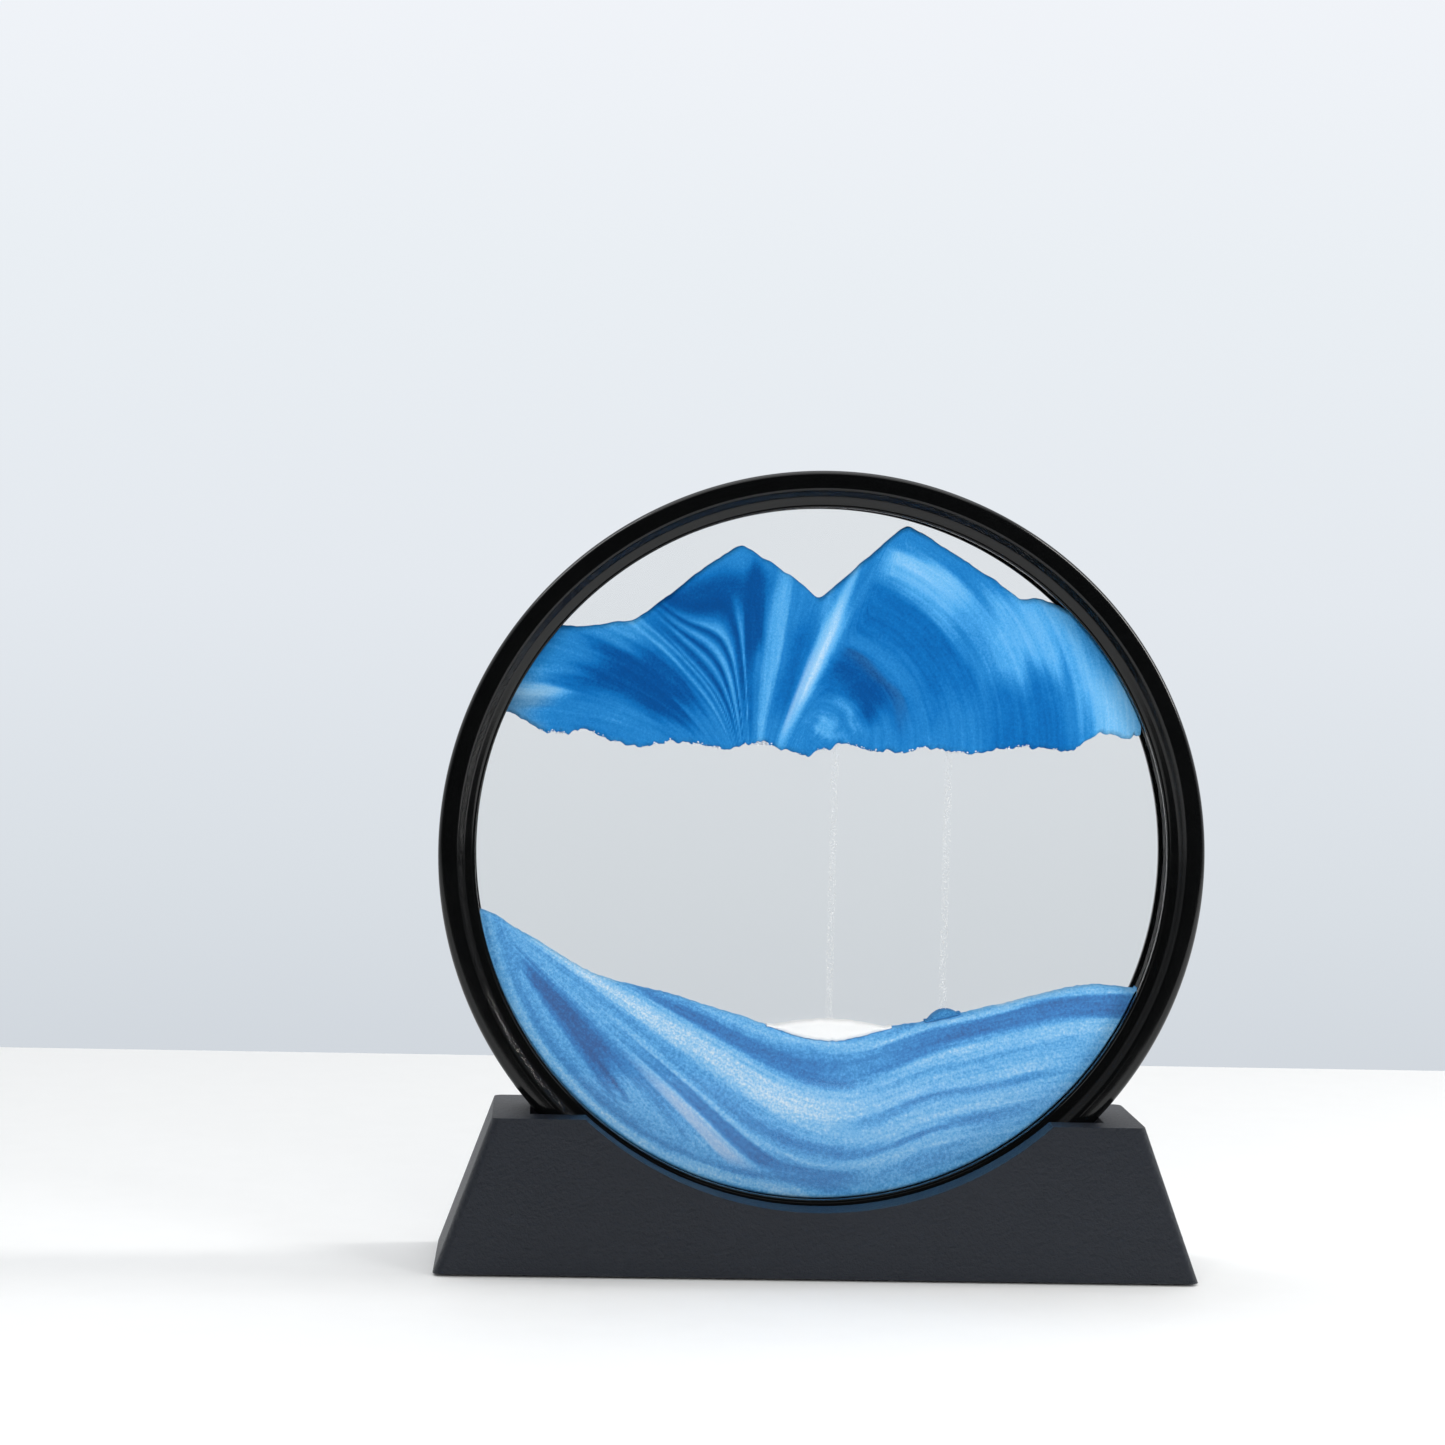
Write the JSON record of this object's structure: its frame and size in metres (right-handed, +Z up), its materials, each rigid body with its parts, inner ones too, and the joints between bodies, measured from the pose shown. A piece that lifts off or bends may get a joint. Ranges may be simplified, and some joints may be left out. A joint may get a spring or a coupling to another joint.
{
  "type": "moving sand picture",
  "caption": "Round two-sided glass sand picture in a black frame that turns in the groove of a trapezoid stand, with layered blue and white sand in clear fluid.",
  "frame": {"origin": "middle of the stand's underside, on the surface that the feet stand on", "axes": "+Z up, +X to the right seen from the front, +Y from the front to the rear along the disc's axis"},
  "size_m": [0.178, 0.044, 0.1857],
  "materials": {
    "base": "matte",
    "cover": "matte",
    "foot": "matte",
    "frame": "gloss",
    "spacer": "satin",
    "glass": "polished",
    "sealant": "satin",
    "stopper": "matte",
    "blue_sand": "matte",
    "dark_sand": "matte",
    "white_sand": "matte",
    "fluid": "polished"
  },
  "bodies": {
    "stand": {"base_shell": "base", "base_bottom_cover": "cover", "foot_pad_front_left": "foot", "foot_pad_front_right": "foot", "foot_pad_rear_left": "foot", "foot_pad_rear_right": "foot"},
    "disc": {"front_frame_ring": "frame", "rear_frame_ring": "frame", "spacer_ring": "spacer", "front_glass": "glass", "rear_glass": "glass", "front_sealant": "sealant", "rear_sealant": "sealant", "filler_septum": "stopper", "upper_sand": "blue_sand", "lower_sand": "blue_sand", "white_sand_mound": "white_sand", "blue_sand_mound": "dark_sand", "clear_fill_above": "fluid", "clear_fill_between": "fluid"},
    "cap": {"filler_cap": "stopper"}
  },
  "joints": [
    {"name": "disc_turn", "type": "hinge", "parent": "stand", "child": "disc", "pos_m": [0, 0, 0.0967], "axis": [0, 1, 0], "continuous": true},
    {"name": "cap_pull", "type": "slide", "parent": "disc", "child": "cap", "axis": [0, 0, 1], "range_m": [0, 0.012]}
  ]
}
